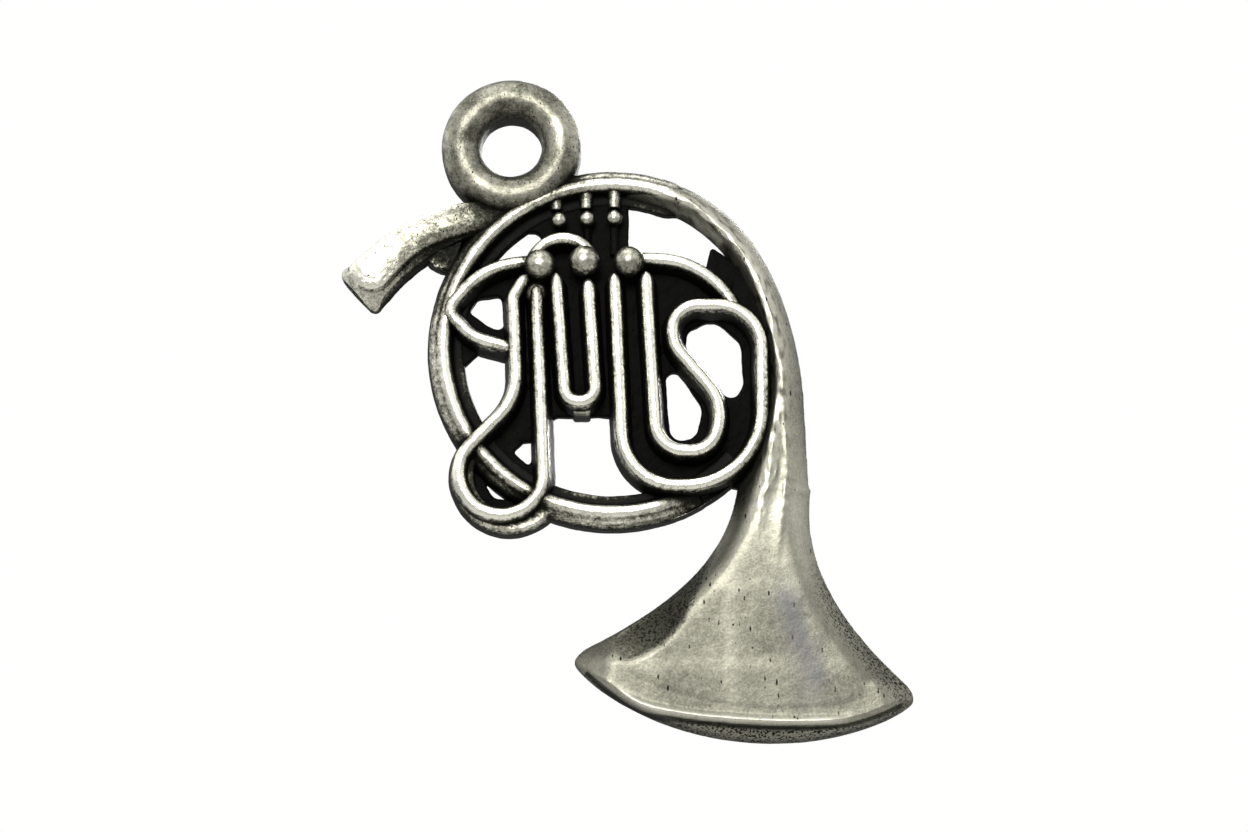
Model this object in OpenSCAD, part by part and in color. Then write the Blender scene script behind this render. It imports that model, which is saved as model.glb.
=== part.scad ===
// French horn charm: a small cast pendant that hangs from a ring above the horn's hoop.
// The horn is drawn flat, X to the right and Y up, with its front face towards +Z.
// stand() then turns it upright: the charm hangs in the XZ plane and its front faces -Y.
// The origin is the middle of the bail ring's hole, and both faces are alike.

/* [Bail ring] */
// Radius of the hole that a jump ring passes through
bail_hole_r = 1.0; // [0.8:0.05:1.1]
// Radius over the outside of the ring
bail_outer_r = 2.3; // [2.1:0.05:2.4]
// Length of the straight wall inside the hole
bail_land = 0.7; // [0.4:0.05:0.9]

/* [Hoop] */
// Radius over the outside of the round hoop
hoop_outer_r = 6.0; // [5.85:0.05:6.05]
// Height of the hoop's crest above the middle plane
hoop_height = 0.85; // [0.7:0.05:1.0]
// Width of the hoop at the middle plane
hoop_width = 1.2; // [1.1:0.05:1.3]

/* [Slides] */
// Radius of a slide tube's rounded crest
tube_crest_r = 0.27; // [0.2:0.01:0.3]
// Width of a slide tube at the middle plane
tube_width = 0.7; // [0.64:0.02:0.8]
// Height of the slides' crests above the middle plane
slide_height = 1.15; // [1.0:0.05:1.3]
// Height of the crooks' crests above the middle plane
crook_height = 1.0; // [0.9:0.05:1.2]

/* [Valves] */
// Radius of a valve cap
cap_r = 0.52; // [0.45:0.01:0.55]
// Height of a valve cap's centre above the middle plane
cap_height = 0.9; // [0.7:0.05:1.0]
// Radius of a key button
button_r = 0.27; // [0.22:0.01:0.3]
// Height of a key button's centre above the middle plane
button_height = 0.6; // [0.5:0.05:0.8]
// Height of a key stem's middle above the middle plane
stem_height = 0.45; // [0.4:0.05:0.5]

/* [Bell] */
// Half width of the bell at its throat
throat_half = 1.2; // [1.15:0.05:1.4]
// Half width of the bell at its mouth
mouth_half = 5.9; // [5.7:0.05:6.1]
// Length from the throat to the corners of the mouth
flare_length = 6.5; // [6.2:0.1:6.8]
// How far the middle of the mouth stands past its corners
mouth_bow = 1.9; // [1.6:0.1:2.2]
// Height of the bell's face above the middle plane
bell_height = 0.95; // [0.8:0.05:1.1]

/* [Plates] */
// Thickness of the thin plates that fill the horn between its tubes
web_thick = 0.4; // [0.3:0.05:0.5]

/* [Hidden] */
web_half = web_thick / 2;
hoop_centre = [3.3, -6.78];
hoop_bead_r = hoop_outer_r - hoop_width / 2;
hoop_crest_r = 0.28;
hoop_step = 0.4;
throat = [8.57, -11.2];
bell_lean = -6.6;
bell_drift = 0.3;
flare_power = 2.3;
corner_start = 0.92;
corner_round = 0.45;
shoulder = 0.85;
ring_sides = 40;
crest_step = 30;
bend_step = 12;
neck_share = 0.97;
parting_draft = 0.02;
lip_centre = [8.9, 4.03];
lip_r = 23.05;
lip_half = 0.22;
lip_crest_r = 0.15;
lip_height = 1.05;

// Routes along the tubes' middles: each row is a corner and the radius it is bent to
left_slide_route = [
    [0.4, -4.7, 0], [0.1, -5.2, 0.45], [0.25, -8.5, 1.9], [-1.95, -10.8, 1.35],
    [-0.85, -12.6, 1.35], [1.15, -12.0, 1.3], [0.87, -5.55, 0]];
middle_slide_route = [[1.5, -4.7, 0], [1.8, -8.65, 0.48], [2.8, -8.65, 0.48], [2.55, -4.9, 0]];
right_slide_route = [
    [3.4, -4.7, 0], [3.7, -11.4, 1.75], [8.15, -11.4, 2.5], [8.15, -5.45, 1.45], [5.2, -5.45, 0.85],
    [5.3, -6.8, 1.0], [6.95, -8.75, 1.6], [6.5, -10.3, 0.9], [4.75, -10.25, 0.95], [4.42, -4.65, 0]];
left_crook_route = [
    [0.8, -3.95, 0], [-0.9, -4.15, 2.6], [-2.05, -5.6, 0.4], [-1.2, -6.5, 1.5], [-0.1, -6.8, 0]];
right_crook_route = [[4.1, -3.88, 0], [6.3, -3.9, 2.8], [7.35, -5.6, 0]];

// Middles of the valve caps and key buttons
caps = [[0.97, -4.1], [2.4, -3.98], [3.86, -4.0]];
buttons = [[1.58, -2.52], [2.5, -2.48], [3.38, -2.45]];

// Stations along the tapered tubes: middle, half width, half thickness and how far the crest
// stands off the middle, as a share of the half width
tail_stations = [
    [3.7, -1.3, 0.5, 0.6, 0], [4.9, -1.54, 0.54, 0.84, -0.15], [6.05, -2.03, 0.53, 0.86, -0.2],
    [7.25, -3.06, 0.52, 0.87, -0.25], [8.13, -4.5, 0.5, 0.9, -0.3], [8.67, -6.1, 0.52, 0.92, -0.35],
    [8.94, -7.8, 0.57, 0.95, -0.35], [8.84, -9.5, 0.77, 0.95, -0.35], [8.54, -11.3, 1.17, 0.95, -0.25],
    [8.45, -12.1, 1.1, 0.8, -0.25]];
pipe_stations = [
    [-0.2, -2.27, 0.62, 0.8, 0], [-1.45, -2.5, 0.68, 0.85, 0], [-2.85, -3.08, 0.77, 0.9, 0],
    [-4.0, -3.92, 0.82, 0.9, 0], [-4.82, -4.74, 0.9, 0.9, 0]];

// ---- directions and rounded corners ----
function xy(p) = [p.x, p.y];
function heading(a, b) = atan2(b.y - a.y, b.x - a.x);
function along(angle) = [cos(angle), sin(angle)];
function wrap(angle) = angle > 180 ? angle - 360 : angle < -180 ? angle + 360 : angle;
function turn(a, b, c) = wrap(heading(b, c) - heading(a, b));
function side(a, b, c) = turn(a, b, c) > 0 ? 1 : -1;
function setback(a, b, c) = b.z * tan(abs(turn(a, b, c)) / 2);
function bend_middle(a, b, c) =
    xy(b) - setback(a, b, c) * along(heading(a, b)) + b.z * along(heading(a, b) + 90 * side(a, b, c));
function bend_start(a, b, c) = heading(a, b) - 90 * side(a, b, c);

// A closed outline with its corners rounded to the radius in each row
function rounded(rows, steps = 6) = [
    for (i = [0 : len(rows) - 1])
        let (a = rows[(i + len(rows) - 1) % len(rows)])
        let (b = rows[i])
        let (c = rows[(i + 1) % len(rows)])
        for (k = [0 : steps])
            bend_middle(a, b, c) + b.z * along(bend_start(a, b, c) + turn(a, b, c) * k / steps)];

// ---- cross-sections, X across the tube and Y towards the front ----
// The front half of a plain tube: a rounded crest over a drafted wall
function tube_front(half_base, crest_r, height) = [
    [half_base, 0], [half_base - parting_draft, web_half],
    for (a = [0 : crest_step : 180]) [crest_r * cos(a), height - crest_r + crest_r * sin(a)],
    [parting_draft - half_base, web_half], [-half_base, 0]];

// A whole section from its front half, with the back alike
function both_faces(front) =
    concat(front, [for (i = [len(front) - 2 : -1 : 1]) [front[i].x, -front[i].y]]);
function slide_section(height) = both_faces(tube_front(tube_width / 2, tube_crest_r, height));

// The same section as a true outline, for tubes that are one arc
module tube_section(half_base, crest_r, height) {
    crest = height - crest_r;
    neck = neck_share * crest_r;
    for (face = [1, -1])
        translate([0, face * crest])
            circle(r = crest_r, $fn = 48);
    polygon([
        [half_base, -web_half], [half_base, web_half], [neck, crest], [-neck, crest],
        [-half_base, web_half], [-half_base, -web_half], [-neck, -crest], [neck, -crest]]);
}

// A rounded crest that stands on a wider band, with a step on each side of it
module stepped_section(half_base, crest_r, height, step) {
    crest = height - crest_r;
    top = half_base - 0.1;
    for (face = [1, -1])
        translate([0, face * crest])
            circle(r = crest_r, $fn = 48);
    square([2 * neck_share * crest_r, 2 * crest], center = true);
    polygon([
        [half_base, 0], [top, step], [-top, step], [-half_base, 0], [-top, -step], [top, -step]]);
}

module right_half() {
    intersection() {
        children();
        translate([0, -5])
            square([5, 10]);
    }
}

// ---- tubes of constant section ----
// Stops along a route: X, Y and heading, with each corner bent to its radius
function route_stops(route) =
    let (last = len(route) - 1)
    [
        concat(xy(route[0]), [heading(route[0], route[1])]),
        for (i = [1 : last - 1])
            let (a = route[i - 1], b = route[i], c = route[i + 1])
            let (steps = ceil(abs(turn(a, b, c)) / bend_step))
            for (k = [0 : steps])
                let (swing = turn(a, b, c) * k / steps)
                concat(
                    bend_middle(a, b, c) + b.z * along(bend_start(a, b, c) + swing),
                    [heading(a, b) + swing]),
        concat(xy(route[last]), [heading(route[last - 1], route[last])])];

// The section stood across the tube at a stop, narrowed to a share of its width
function section_ring(stop, section, ahead = 0, share = 1) =
    let (across = along(stop.z + 90))
    let (place = xy(stop) + ahead * along(stop.z))
    [for (p = section)
        [place.x + share * p.x * across.x, place.y + share * p.x * across.y, p.y * (0.8 + 0.2 * share)]];

// A whole slide: the section carried along its route, with both its ends rounded
module slide_tube(route, height) {
    section = slide_section(height);
    stops = route_stops(route);
    reach = tube_width / 2;
    skin([
        for (k = [75, 50, 25]) section_ring(stops[0], section, -reach * sin(k), cos(k)),
        for (stop = stops) section_ring(stop, section),
        for (k = [25, 50, 75]) section_ring(stops[len(stops) - 1], section, reach * sin(k), cos(k))]);
}

// ---- tapered tubes: closed skins over rings of points ----
// Height of the face at a distance u from the middle of a tube of half width w; the crest
// stands off the middle by a share of w
function face_height(u, w, d, off) =
    let (reach = u > off * w ? w * (1 - off) : w * (1 + off))
    let (x = min(1, (reach - abs(u - off * w)) / min(reach, shoulder)))
    d * (1 - pow(1 - x, 2));
function ring_angle(j) = 360 * j / ring_sides;
function face_sign(j) = j == 0 || j == ring_sides / 2 ? 0 : j < ring_sides / 2 ? 1 : -1;

// A smooth curve through rows of numbers, at t from 0 to the last row
function blend(p, q, r, s, f) =
    0.5 * (2 * q + (r - p) * f + (2 * p - 5 * q + 4 * r - s) * f * f + (3 * q - p - 3 * r + s) * f * f * f);
function smooth(rows, t) =
    let (last = len(rows) - 1)
    let (i = min(floor(t), last - 1))
    blend(rows[max(i - 1, 0)], rows[i], rows[i + 1], rows[min(i + 2, last)], t - i);

function tube_ring(rows, t) =
    let (here = smooth(rows, t))
    let (before = smooth(rows, max(t - 0.1, 0)))
    let (after = smooth(rows, min(t + 0.1, len(rows) - 1)))
    let (across = along(heading(before, after) + 90))
    [for (j = [0 : ring_sides - 1])
        let (u = here[2] * cos(ring_angle(j)))
        let (v = face_sign(j) * face_height(u, here[2], here[3], here[4]))
        [here.x + u * across.x, here.y + u * across.y, v]];

// Closes rings into a solid; each end is a strip between its front and back edges
module skin(rings) {
    n = len(rings[0]);
    top = len(rings) - 1;
    walls = [
        for (i = [0 : top - 1])
            for (j = [0 : n - 1])
                for (half = [0, 1])
                    half == 0
                        ? [(i + 1) * n + (j + 1) % n, i * n + (j + 1) % n, i * n + j]
                        : [(i + 1) * n + j, (i + 1) * n + (j + 1) % n, i * n + j]];
    first_end = end_faces(n);
    last_end = [for (face = end_faces(n)) top * n * [1, 1, 1] + [face[2], face[1], face[0]]];
    polyhedron(points = [for (ring = rings) each ring], faces = concat(walls, first_end, last_end));
}
function end_faces(n) =
    [for (j = [0 : n / 2 - 1])
        for (half = [0, 1])
            if (!(half == 0 && j == 0) && !(half == 1 && j == n / 2 - 1))
                half == 0
                    ? [j, j + 1, (n - j) % n]
                    : [j + 1, n - j - 1, (n - j) % n]];

module taper_tube(rows, rings_per_station = 4) {
    count = (len(rows) - 1) * rings_per_station;
    skin([for (i = [0 : count]) tube_ring(rows, i / rings_per_station)]);
}

// ---- the bell, drawn down its own axis from the throat at t = 0 to the mouth at t = 1 ----
function bell_corner(t) = max(0, t - corner_start) / (1 - corner_start);
function bell_width(t) =
    throat_half + (mouth_half - throat_half) * pow(t, flare_power) - corner_round * pow(bell_corner(t), 2);
function bell_depth(t) = bell_height - (t > 0.96 ? 0.25 : 0);
function bell_off(t) = 0.25 * max(0, 1 - 3 * t);
function bell_ring(t) = [
    for (j = [0 : ring_sides - 1])
        let (w = bell_width(t))
        let (u = w * cos(ring_angle(j)))
        let (s = flare_length * t + mouth_bow * pow(t, 3) * pow(max(0, 1 - pow(u / w, 2)), 0.8))
        [u - bell_drift * t * t, -s, face_sign(j) * face_height(u, w, bell_depth(t), -bell_off(t))]];

module at_throat() {
    translate(throat)
        rotate([0, 0, bell_lean])
            children();
}

module plate(thick = web_thick) {
    translate([0, 0, -thick / 2])
        linear_extrude(height = thick)
            children();
}

module stand() {
    rotate([90, 0, 0])
        children();
}

// ---- parts ----
module bail_ring() {
    section_r = (bail_outer_r - bail_hole_r) / 2;
    color([0.70, 0.70, 0.64])
        stand()
            rotate_extrude($fn = 96) {
                for (face = [1, -1])
                    translate([bail_hole_r + section_r, face * bail_land / 2])
                        circle(r = section_r - 0.01, $fn = 48);
                translate([bail_hole_r, -bail_land / 2])
                    square([2 * section_r, bail_land]);
            }
}

module hoop_section() {
    stepped_section(hoop_width / 2, hoop_crest_r, hoop_height, hoop_step);
}

module main_hoop() {
    tail_join = 50;
    sweep = 268;
    color([0.62, 0.62, 0.56])
        stand()
            translate(hoop_centre)
                rotate([0, 0, tail_join])
                    rotate_extrude(angle = sweep, $fn = 128)
                        translate([hoop_bead_r, 0])
                            hoop_section();
}

// Low ledge inside the hoop, beside the bell's tail
module hoop_ledge() {
    color([0.39, 0.39, 0.35])
        stand()
            translate(hoop_centre)
                rotate([0, 0, 8])
                    rotate_extrude(angle = 32, $fn = 96)
                        translate([4.3, -web_thick])
                            square([0.8, 2 * web_thick]);
}

module bell_tail() {
    color([0.62, 0.62, 0.56])
        stand()
            taper_tube(tail_stations);
}

module bell_flare() {
    rings = 30;
    color([0.60, 0.59, 0.53])
        stand()
            at_throat()
                skin([for (i = [0 : rings]) bell_ring(i / rings)]);
}

// Raised lip across the mouth of the bell, on both faces
module bell_rim() {
    first_end = -100;
    sweep = 14;
    color([0.70, 0.70, 0.64])
        stand()
            translate(lip_centre)
                rotate([0, 0, first_end])
                    rotate_extrude(angle = sweep, $fn = 128)
                        translate([lip_r, 0])
                            tube_section(lip_half, lip_crest_r, lip_height);
}

module lead_pipe() {
    color([0.66, 0.66, 0.60])
        stand()
            taper_tube(pipe_stations);
}

// The pipe's flared end, with a shallow cup in its face
module mouthpiece() {
    end_r = 0.94;
    color([0.70, 0.70, 0.64])
        stand()
            translate([-5.0, -4.9, 0])
                rotate([0, 0, -48])
                    rotate([90, 0, 0])
                        rotate_extrude($fn = 64)
                            difference() {
                                polygon([
                                    [0, -0.5], [0.85, -0.5], [end_r, -0.08], [end_r - 0.06, 0.04], [0, 0.04]]);
                                translate([0, 0.42])
                                    circle(r = 0.7, $fn = 64);
                            }
}

module pipe_gusset() {
    color([0.3, 0.3, 0.26])
        stand()
            plate(0.9)
                polygon(rounded([[-3.1, -3.5, 0.1], [-1.4, -2.6, 0.1], [-1.9, -4.2, 0.1], [-2.5, -4.05, 0.3]]));
}

module left_crook() {
    color([0.66, 0.66, 0.60])
        stand()
            slide_tube(left_crook_route, crook_height);
}

module left_slide() {
    color([0.72, 0.72, 0.66])
        stand()
            slide_tube(left_slide_route, slide_height);
}

// Wider, lower band under the left slide's round bottom bow
module left_slide_base() {
    bow = [0.0, -11.0];
    color([0.55, 0.55, 0.50])
        stand()
            translate(bow)
                rotate([0, 0, 150])
                    rotate_extrude(angle = 185, $fn = 96)
                        translate([1.45, 0])
                            polygon([
                                [-0.3, -0.6], [0.4, -0.6], [0.52, 0], [0.4, 0.6], [-0.3, 0.6]]);
}

module left_slide_collar() {
    color([0.55, 0.55, 0.50])
        stand()
            translate([0.84, -5.0, 0])
                rotate_extrude($fn = 48)
                    right_half()
                        tube_section(0.44, 0.33, slide_height - 0.08);
}

module middle_slide() {
    color([0.72, 0.72, 0.66])
        stand()
            slide_tube(middle_slide_route, slide_height);
}

module middle_slide_foot() {
    color([0.44, 0.44, 0.39])
        stand()
            plate(1.3)
                polygon(rounded([[1.95, -8.5, 0.05], [2.05, -9.02, 0.1], [2.6, -9.02, 0.1], [2.7, -8.5, 0.05]]));
}

module right_slide() {
    color([0.72, 0.72, 0.66])
        stand()
            slide_tube(right_slide_route, slide_height);
}

module right_crook() {
    color([0.66, 0.66, 0.60])
        stand()
            slide_tube(right_crook_route, crook_height);
}

// Small arch over the first two valve caps
module valve_bow() {
    color([0.66, 0.66, 0.60])
        stand()
            translate([1.72, -4.22])
                rotate([0, 0, 25])
                    rotate_extrude(angle = 130, $fn = 96)
                        translate([1.02, 0])
                            tube_section(0.32, 0.25, 1.05);
}

// A ball on each face, joined through the plate by a pin
module stud(place, ball_r, height, pin_r) {
    translate(place)
        for (face = [1, -1])
            translate([0, 0, face * height])
                sphere(r = ball_r, $fn = 64);
    translate([place.x, place.y, -height])
        cylinder(r = pin_r, h = 2 * height, $fn = 32);
}

module valve_cap(i) {
    color([0.80, 0.80, 0.76])
        stand()
            stud(caps[i - 1], cap_r, cap_height, 0.3);
}
module valve_cap_1() { valve_cap(1); }
module valve_cap_2() { valve_cap(2); }
module valve_cap_3() { valve_cap(3); }

module key_button(i) {
    color([0.70, 0.70, 0.64])
        stand()
            stud(buttons[i - 1], button_r, button_height, 0.16);
}
module key_button_1() { key_button(1); }
module key_button_2() { key_button(2); }
module key_button_3() { key_button(3); }

// Short stub between the hoop and a key button, on both faces
module key_stem(i) {
    lean = 0.05 * (3 - i);
    above = 0.36;
    length = 0.6;
    color([0.62, 0.62, 0.56])
        stand()
            translate([buttons[i - 1].x - lean, buttons[i - 1].y + above, 0])
                for (face = [1, -1])
                    translate([0, 0, face * stem_height])
                        rotate([-90, 0, 0])
                            cylinder(r1 = 0.19, r2 = 0.25, h = length, $fn = 32);
}
module key_stem_1() { key_stem(1); }
module key_stem_2() { key_stem(2); }
module key_stem_3() { key_stem(3); }

// Thin rod below a key button, on both faces
module key_rod(i) {
    top = buttons[i - 1];
    length = 1.2;
    color([0.3, 0.3, 0.26])
        stand()
            translate([top.x, top.y - length, 0])
                for (face = [1, -1])
                    translate([0, 0, face * 0.34])
                        rotate([-90, 0, 0])
                            cylinder(r = 0.14, h = length, $fn = 32);
}
module key_rod_2() { key_rod(2); }
module key_rod_3() { key_rod(3); }

// Plate behind the key buttons, from the hoop down to the valve caps
module key_panel() {
    color([0.12, 0.12, 0.09])
        stand()
            plate()
                polygon(rounded([
                    [-0.5, -3.1, 0.1], [1.0, -1.7, 0.2], [3.85, -1.4, 0.1], [3.85, -4.2, 0.1], [1.3, -4.2, 0.1],
                    [1.15, -3.3, 0.3], [0.9, -2.8, 0.3], [0.3, -2.85, 0.4]]));
}

// Plate inside and below the left crook, pierced once inside the crook
module crook_plate() {
    color([0.12, 0.12, 0.09])
        stand()
            plate()
                difference() {
                    polygon(rounded([
                        [-2.1, -5.2, 0.2], [-0.3, -3.9, 0.2], [0.4, -4.0, 0.1], [0.3, -6.9, 0.1], [-0.9, -6.8, 0.2],
                        [-1.6, -7.4, 0.2], [-2.1, -7.0, 0.2]]));
                    polygon(rounded([
                        [-1.05, -5.05, 0.25], [-0.3, -4.95, 0.15], [-0.2, -6.2, 0.2], [-0.75, -5.95, 0.2],
                        [-1.35, -5.5, 0.15]]));
                }
}

// Plate under the straight runs of the left and middle slides
module centre_plate() {
    color([0.12, 0.12, 0.09])
        stand()
            plate()
                polygon(rounded([
                    [0.2, -4.0, 0.1], [4.2, -4.0, 0.1], [4.0, -9.0, 0.2], [1.5, -9.0, 0.15], [1.2, -9.3, 0.1],
                    [0.9, -9.8, 0.2], [-0.6, -9.95, 0.1], [0.15, -8.9, 0.8], [0.1, -6.0, 0.5]]));
}

// Plate inside and beside the right slide, pierced twice between its bows
module right_plate() {
    color([0.12, 0.12, 0.09])
        stand()
            plate()
                difference() {
                    polygon(rounded([
                        [3.7, -4.0, 0.1], [5.9, -4.0, 0.3], [6.35, -4.15, 0.1], [6.55, -3.3, 0.1],
                        [7.4, -3.9, 0.2], [8.5, -6.2, 0.5], [8.7, -9.8, 0.3],
                        [7.6, -11.4, 0.3], [6.9, -11.3, 0.2], [5.3, -11.6, 0.8], [4.2, -11.3, 0.8], [3.75, -9.8, 0.6]]));
                    polygon(rounded([
                        [5.75, -6.15, 0.35], [6.6, -5.75, 0.5], [7.5, -6.5, 0.6], [7.6, -7.9, 0.4], [7.2, -8.6, 0.3],
                        [6.75, -8.0, 0.5], [5.7, -6.7, 0.3]]));
                    polygon(rounded([
                        [5.05, -7.4, 0.25], [5.55, -7.6, 0.3], [6.25, -8.7, 0.6], [6.05, -9.7, 0.4], [5.2, -9.85, 0.4]]));
                }
}

// Plate inside the left slide's bottom bow, pierced above and below the hoop
module loop_plate() {
    color([0.12, 0.12, 0.09])
        stand()
            plate()
                difference() {
                    polygon(rounded([
                        [-0.6, -9.7, 0.2], [1.2, -9.4, 0.2], [1.25, -11.2, 0.6], [0.6, -12.2, 0.6], [-0.9, -12.2, 0.7],
                        [-1.6, -11.2, 0.6], [-1.4, -10.5, 0.3]]));
                    polygon(rounded([[0.1, -10.15, 0.1], [0.7, -9.6, 0.1], [0.7, -10.7, 0.1]]));
                    polygon(rounded([[-0.95, -11.0, 0.1], [-0.3, -11.35, 0.2], [0.2, -11.75, 0.1], [-0.5, -11.7, 0.3]]));
                }
}

bail_ring();
main_hoop();
hoop_ledge();
bell_tail();
bell_flare();
bell_rim();
lead_pipe();
mouthpiece();
pipe_gusset();
left_crook();
left_slide();
left_slide_base();
left_slide_collar();
middle_slide();
middle_slide_foot();
right_slide();
right_crook();
valve_bow();
valve_cap_1();
valve_cap_2();
valve_cap_3();
key_button_1();
key_button_2();
key_button_3();
key_stem_1();
key_stem_2();
key_stem_3();
key_rod_2();
key_rod_3();
key_panel();
crook_plate();
centre_plate();
right_plate();
loop_plate();
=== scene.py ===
import math

import bmesh
import bpy
import numpy as np
from mathutils import Matrix, Vector, noise


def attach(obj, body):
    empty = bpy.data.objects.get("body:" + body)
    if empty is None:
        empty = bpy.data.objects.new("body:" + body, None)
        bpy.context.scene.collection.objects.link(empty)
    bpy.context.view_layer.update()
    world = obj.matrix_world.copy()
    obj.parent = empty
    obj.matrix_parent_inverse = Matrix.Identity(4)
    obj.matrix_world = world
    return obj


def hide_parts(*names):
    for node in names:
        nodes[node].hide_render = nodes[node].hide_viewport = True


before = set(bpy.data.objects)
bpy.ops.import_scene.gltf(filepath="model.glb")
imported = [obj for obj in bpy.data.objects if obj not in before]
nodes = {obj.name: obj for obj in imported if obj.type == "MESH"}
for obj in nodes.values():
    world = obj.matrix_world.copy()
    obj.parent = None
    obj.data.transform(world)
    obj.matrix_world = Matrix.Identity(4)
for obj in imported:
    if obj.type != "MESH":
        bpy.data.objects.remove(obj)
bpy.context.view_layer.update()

# Pieces are modelled in millimetres and shrunk to metres when they are finished.
# The charm hangs in the XZ plane, its front towards -Y, with the bail hole at the origin.
mm = 0.001
casting = {"voxel": 0.045, "softening": 4, "softness": 0.5, "swell": 0.012, "ripple": 0.008, "grain": 0.0035}
waves = (("swell", 1.3, 0), ("ripple", 4.5, 40), ("grain", 13.0, 80))  # kind, turns in a millimetre, seed shift
pieces = []


tiny = {"onMiddle": 1e-6, "weld": 1e-4, "weldNode": 1e-3}  # distances counted as none
tube = {"crestSteps": 9, "draft": 0.02, "footHeight": 0.2, "pull": 0.6, "bendStep": 4, "bendLeast": 3,
        "endReach": 0.35, "endDegrees": (30, 60, 80), "endHeld": 0.8, "endLost": 0.2}


def flatHeading(a, b):
    return math.atan2(b[1] - a[1], b[0] - a[0])


def direction(angle):
    return Vector((math.cos(angle), 0, math.sin(angle)))


def spot(p):
    return Vector((p[0], 0, p[1]))


# An outline holds (across, out from the middle) for the front, and the back mirrors it
def mirrored(front):
    return front + [(u, -v) for u, v in reversed(front) if v > tiny["onMiddle"]]


def tubeOutline(halfBase, crestHalf, crestRise, height):
    arc = [math.pi * k / tube["crestSteps"] for k in range(tube["crestSteps"] + 1)]
    crest = [(crestHalf * math.cos(a), height - crestRise + crestRise * math.sin(a)) for a in arc]
    foot = [(halfBase, 0), (halfBase - tube["draft"], tube["footHeight"])]
    return mirrored(foot + crest + [(-u, v) for u, v in reversed(foot)])


def drawOutline(bm, outline, place, across):
    ring = [bm.verts.new(place + across * u + Vector((0, -v, 0))) for u, v in outline]
    return [bm.edges.new((ring[i], ring[(i + 1) % len(ring)])) for i in range(len(ring))]


def pullOn(bm, edges):
    made = bmesh.ops.extrude_edge_only(bm, edges=edges)["geom"]
    verts = [g for g in made if isinstance(g, bmesh.types.BMVert)]
    fresh = set(verts)
    rim = [g for g in made if isinstance(g, bmesh.types.BMEdge) and g.verts[0] in fresh and g.verts[1] in fresh]
    return rim, verts


def roundEnd(bm, edges, place, heading, reach):
    before = 0
    for degrees in tube["endDegrees"]:
        now = math.radians(degrees)
        edges, verts = pullOn(bm, edges)
        step = reach * (math.sin(now) - math.sin(before))
        bmesh.ops.translate(bm, verts=verts, vec=heading * step)
        place = place + heading * step
        narrow = math.cos(now) / math.cos(before)
        lower = ((tube["endHeld"] + tube["endLost"] * math.cos(now))
                 / (tube["endHeld"] + tube["endLost"] * math.cos(before)))
        bmesh.ops.scale(bm, verts=verts, vec=(narrow, lower, narrow), space=Matrix.Translation(-place))
        before = now
    bmesh.ops.edgeloop_fill(bm, edges=edges)


# A tube along corners (x, z, bend radius): straight runs are pulled, corners are spun
def bentTube(route, outline):
    bm = bmesh.new()
    heading = flatHeading(route[0], route[1])
    place = spot(route[0])
    edges = drawOutline(bm, outline, place, direction(heading + math.pi / 2))
    firstEdges, firstPlace, firstHeading = edges, place, direction(heading)
    for i in range(1, len(route)):
        corner = spot(route[i])
        if i < len(route) - 1:
            after = flatHeading(route[i], route[i + 1])
            turn = (after - heading + math.pi) % (2 * math.pi) - math.pi
            back = route[i][2] * math.tan(abs(turn) / 2)
        else:
            turn, back = 0, 0
        run = (corner - place).length - back
        pulls = max(1, round(run / tube["pull"]))
        for k in range(pulls):
            edges, verts = pullOn(bm, edges)
            bmesh.ops.translate(bm, verts=verts, vec=direction(heading) * run / pulls)
        place = place + direction(heading) * run
        if turn:
            side = 1 if turn > 0 else -1
            centre = place + direction(heading + side * math.pi / 2) * route[i][2]
            steps = max(tube["bendLeast"], round(math.degrees(abs(turn)) / tube["bendStep"]))
            spun = bmesh.ops.spin(bm, geom=edges, cent=centre, axis=(0, -1, 0), dvec=(0, 0, 0), angle=turn,
                                  steps=steps, use_merge=False)
            edges = [g for g in spun["geom_last"] if isinstance(g, bmesh.types.BMEdge)]
            place = centre - direction(heading + turn + side * math.pi / 2) * route[i][2]
            heading += turn
    roundEnd(bm, edges, place, direction(heading), tube["endReach"])
    roundEnd(bm, firstEdges, firstPlace, -firstHeading, tube["endReach"])
    return bm


# Part of a turn of an outline about a centre in the charm's plane
def spunArc(outline, centre, radius, startDegrees, sweepDegrees, steps, bm=None):
    bm = bm or bmesh.new()
    start = math.radians(startDegrees)
    place = spot(centre) + direction(start) * radius
    edges = drawOutline(bm, outline, place, direction(start))
    full = sweepDegrees == 360
    spun = bmesh.ops.spin(bm, geom=edges, cent=spot(centre), axis=(0, -1, 0), dvec=(0, 0, 0),
                          angle=math.radians(sweepDegrees), steps=steps, use_merge=full)
    if not full:
        last = [g for g in spun["geom_last"] if isinstance(g, bmesh.types.BMEdge)]
        bmesh.ops.edgeloop_fill(bm, edges=last)
        bmesh.ops.edgeloop_fill(bm, edges=edges)
    bmesh.ops.remove_doubles(bm, verts=bm.verts[:], dist=tiny["weld"])
    return bm


quadAngles = {"face": 0.7, "shape": 1.2}


def copiedNode(*names, quads=True):
    bm = bmesh.new()
    for name in names:
        bm.from_mesh(nodes[name].data)
    bmesh.ops.scale(bm, verts=bm.verts[:], vec=(1 / mm, 1 / mm, 1 / mm))
    bmesh.ops.remove_doubles(bm, verts=bm.verts[:], dist=tiny["weldNode"])
    if quads:
        bmesh.ops.join_triangles(bm, faces=bm.faces[:], angle_face_threshold=quadAngles["face"],
                                 angle_shape_threshold=quadAngles["shape"])
    return bm


# A ball on the front and its twin on the back
def ballPair(place, radius, height):
    bm = bmesh.new()
    for face in (1, -1):
        seat = Matrix.Translation((place[0], -face * height, place[1]))
        bmesh.ops.create_uvsphere(bm, u_segments=40, v_segments=24, radius=radius, matrix=seat)
    return bm


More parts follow.
